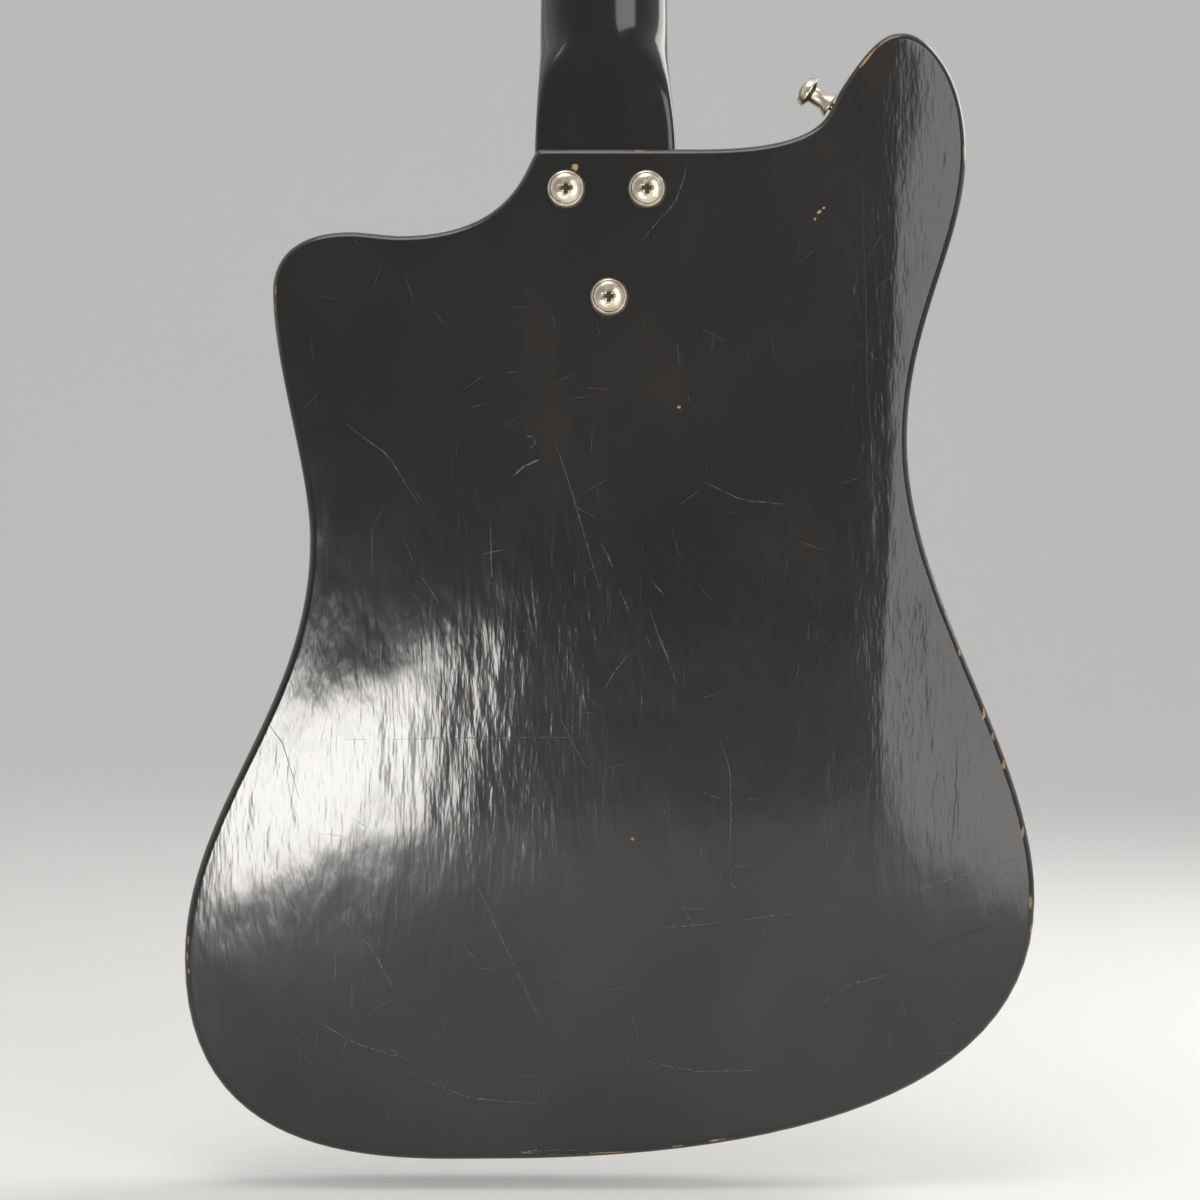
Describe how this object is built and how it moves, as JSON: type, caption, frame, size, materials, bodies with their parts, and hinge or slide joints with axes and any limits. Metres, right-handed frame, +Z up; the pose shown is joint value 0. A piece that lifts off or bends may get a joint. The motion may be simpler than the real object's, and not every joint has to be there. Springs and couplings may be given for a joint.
{
  "type": "electric guitar",
  "caption": "Solid-body electric guitar with two unlike horns, screwed-on neck, two pickups and geared tuning keys.",
  "frame": {"origin": "centre line at the nut, on the plane where the fretboard is glued to the neck", "axes": "+Z up the neck towards the headstock, +Y out of the back, +X to the treble side seen from the front"},
  "size_m": [0.3304, 0.0598, 0.9497],
  "materials": {
    "black_paint": "gloss black lacquer",
    "rosewood": "oiled",
    "bone": "polished bone",
    "nickel": "aged nickel plate",
    "dark_steel": "plain steel",
    "brass": "brushed",
    "aged_white_plastic": "aged white",
    "black_plastic": "gloss",
    "cream_plastic": "cream",
    "coil_winding": "lacquered wire",
    "capacitor_brown": "dipped",
    "wire_cloth": "braided cloth"
  },
  "bodies": {
    "guitar": {"body": "black_paint", "bridge_base": "rosewood", "bridge_pickup_coil": "coil_winding", "bridge_pickup_cover": "black_plastic", "bridge_post_1": "nickel", "bridge_post_2": "nickel", "bridge_saddle": "nickel", "fretboard": "rosewood", "jack_nut": "nickel", "neck": "black_paint", "neck_pickup_coil": "coil_winding", "neck_pickup_cover": "black_plastic", "neck_screw_1": "nickel", "neck_screw_2": "nickel", "neck_screw_3": "nickel", "neck_washer_1": "nickel", "neck_washer_2": "nickel", "neck_washer_3": "nickel", "nut": "bone", "output_jack": "nickel", "pickguard": "aged_white_plastic", "strap_button": "nickel", "strap_button_screw": "nickel", "string_1": "nickel", "string_2": "nickel", "string_3": "nickel", "string_4": "dark_steel", "string_5": "dark_steel", "string_6": "dark_steel", "string_tree": "nickel", "switch_body": "dark_steel", "tailpiece": "nickel", "tailpiece_screw_1": "nickel", "tailpiece_screw_2": "nickel", "tailpiece_screw_3": "nickel", "tone_capacitor": "capacitor_brown", "tone_pot": "dark_steel", "truss_rod": "dark_steel", "truss_rod_cover": "black_plastic", "tuner_plate": "nickel", "volume_pot": "dark_steel", "wiring_loom": "wire_cloth"},
    "tuner_key_1": {"tuner_key_1": "cream_plastic"},
    "tuner_post_1": {"tuner_post_1": "brass"},
    "tuner_key_2": {"tuner_key_2": "cream_plastic"},
    "tuner_post_2": {"tuner_post_2": "brass"},
    "tuner_key_3": {"tuner_key_3": "cream_plastic"},
    "tuner_post_3": {"tuner_post_3": "brass"},
    "tuner_key_4": {"tuner_key_4": "cream_plastic"},
    "tuner_post_4": {"tuner_post_4": "brass"},
    "tuner_key_5": {"tuner_key_5": "cream_plastic"},
    "tuner_post_5": {"tuner_post_5": "brass"},
    "tuner_key_6": {"tuner_key_6": "cream_plastic"},
    "tuner_post_6": {"tuner_post_6": "brass"},
    "volume_knob": {"volume_knob": "black_plastic"},
    "tone_knob": {"tone_knob": "black_plastic"},
    "bridge_thumbwheel_1": {"bridge_thumbwheel_1": "nickel"},
    "bridge_thumbwheel_2": {"bridge_thumbwheel_2": "nickel"},
    "switch_lever": {"switch_lever": "cream_plastic"}
  },
  "joints": [
    {"name": "tuner_key_1_turn", "type": "hinge", "parent": "guitar", "child": "tuner_key_1", "pos_m": [0.01446, 0.021, 0.1623], "axis": [-0.9635, 0, 0.2677], "continuous": true},
    {"name": "tuner_post_1_turn", "type": "hinge", "parent": "guitar", "child": "tuner_post_1", "pos_m": [0.01229, 0.021, 0.1545], "axis": [0, 1, 0], "continuous": true},
    {"name": "tuner_key_2_turn", "type": "hinge", "parent": "guitar", "child": "tuner_key_2", "pos_m": [0.00776, 0.021, 0.1382], "axis": [-0.9635, 0, 0.2677], "continuous": true},
    {"name": "tuner_post_2_turn", "type": "hinge", "parent": "guitar", "child": "tuner_post_2", "pos_m": [0.0056, 0.021, 0.1304], "axis": [0, 1, 0], "continuous": true},
    {"name": "tuner_key_3_turn", "type": "hinge", "parent": "guitar", "child": "tuner_key_3", "pos_m": [0.00107, 0.021, 0.1141], "axis": [-0.9635, 0, 0.2677], "continuous": true},
    {"name": "tuner_post_3_turn", "type": "hinge", "parent": "guitar", "child": "tuner_post_3", "pos_m": [-0.0011, 0.021, 0.1063], "axis": [0, 1, 0], "continuous": true},
    {"name": "tuner_key_4_turn", "type": "hinge", "parent": "guitar", "child": "tuner_key_4", "pos_m": [-0.00563, 0.021, 0.09], "axis": [-0.9635, 0, 0.2677], "continuous": true},
    {"name": "tuner_post_4_turn", "type": "hinge", "parent": "guitar", "child": "tuner_post_4", "pos_m": [-0.00779, 0.021, 0.0822], "axis": [0, 1, 0], "continuous": true},
    {"name": "tuner_key_5_turn", "type": "hinge", "parent": "guitar", "child": "tuner_key_5", "pos_m": [-0.01232, 0.021, 0.0659], "axis": [-0.9635, 0, 0.2677], "continuous": true},
    {"name": "tuner_post_5_turn", "type": "hinge", "parent": "guitar", "child": "tuner_post_5", "pos_m": [-0.01449, 0.021, 0.0581], "axis": [0, 1, 0], "continuous": true},
    {"name": "tuner_key_6_turn", "type": "hinge", "parent": "guitar", "child": "tuner_key_6", "pos_m": [-0.01902, 0.021, 0.0418], "axis": [-0.9635, 0, 0.2677], "continuous": true},
    {"name": "tuner_post_6_turn", "type": "hinge", "parent": "guitar", "child": "tuner_post_6", "pos_m": [-0.02118, 0.021, 0.034], "axis": [0, 1, 0], "continuous": true},
    {"name": "volume_knob_turn", "type": "hinge", "parent": "guitar", "child": "volume_knob", "pos_m": [0.088, 0, -0.64078], "axis": [0, -1, 0], "range_deg": [0, 300]},
    {"name": "tone_knob_turn", "type": "hinge", "parent": "guitar", "child": "tone_knob", "pos_m": [0.113, 0, -0.67578], "axis": [0, -1, 0], "range_deg": [0, 300]},
    {"name": "bridge_thumbwheel_1_turn", "type": "hinge", "parent": "guitar", "child": "bridge_thumbwheel_1", "pos_m": [0.037, 0, -0.628], "axis": [0, -1, 0], "continuous": true},
    {"name": "bridge_thumbwheel_2_turn", "type": "hinge", "parent": "guitar", "child": "bridge_thumbwheel_2", "pos_m": [-0.037, 0, -0.628], "axis": [0, -1, 0], "continuous": true},
    {"name": "switch_lever_swing", "type": "hinge", "parent": "guitar", "child": "switch_lever", "pos_m": [0.09, 0.01, -0.46878], "axis": [1, 0, 0], "range_deg": [-12, 12]}
  ],
  "couplings": [
    {"joint": "tuner_post_1_turn", "follows": "tuner_key_1_turn", "ratio": 0.071429},
    {"joint": "tuner_post_2_turn", "follows": "tuner_key_2_turn", "ratio": 0.071429},
    {"joint": "tuner_post_3_turn", "follows": "tuner_key_3_turn", "ratio": 0.071429},
    {"joint": "tuner_post_4_turn", "follows": "tuner_key_4_turn", "ratio": 0.071429},
    {"joint": "tuner_post_5_turn", "follows": "tuner_key_5_turn", "ratio": 0.071429},
    {"joint": "tuner_post_6_turn", "follows": "tuner_key_6_turn", "ratio": 0.071429}
  ]
}
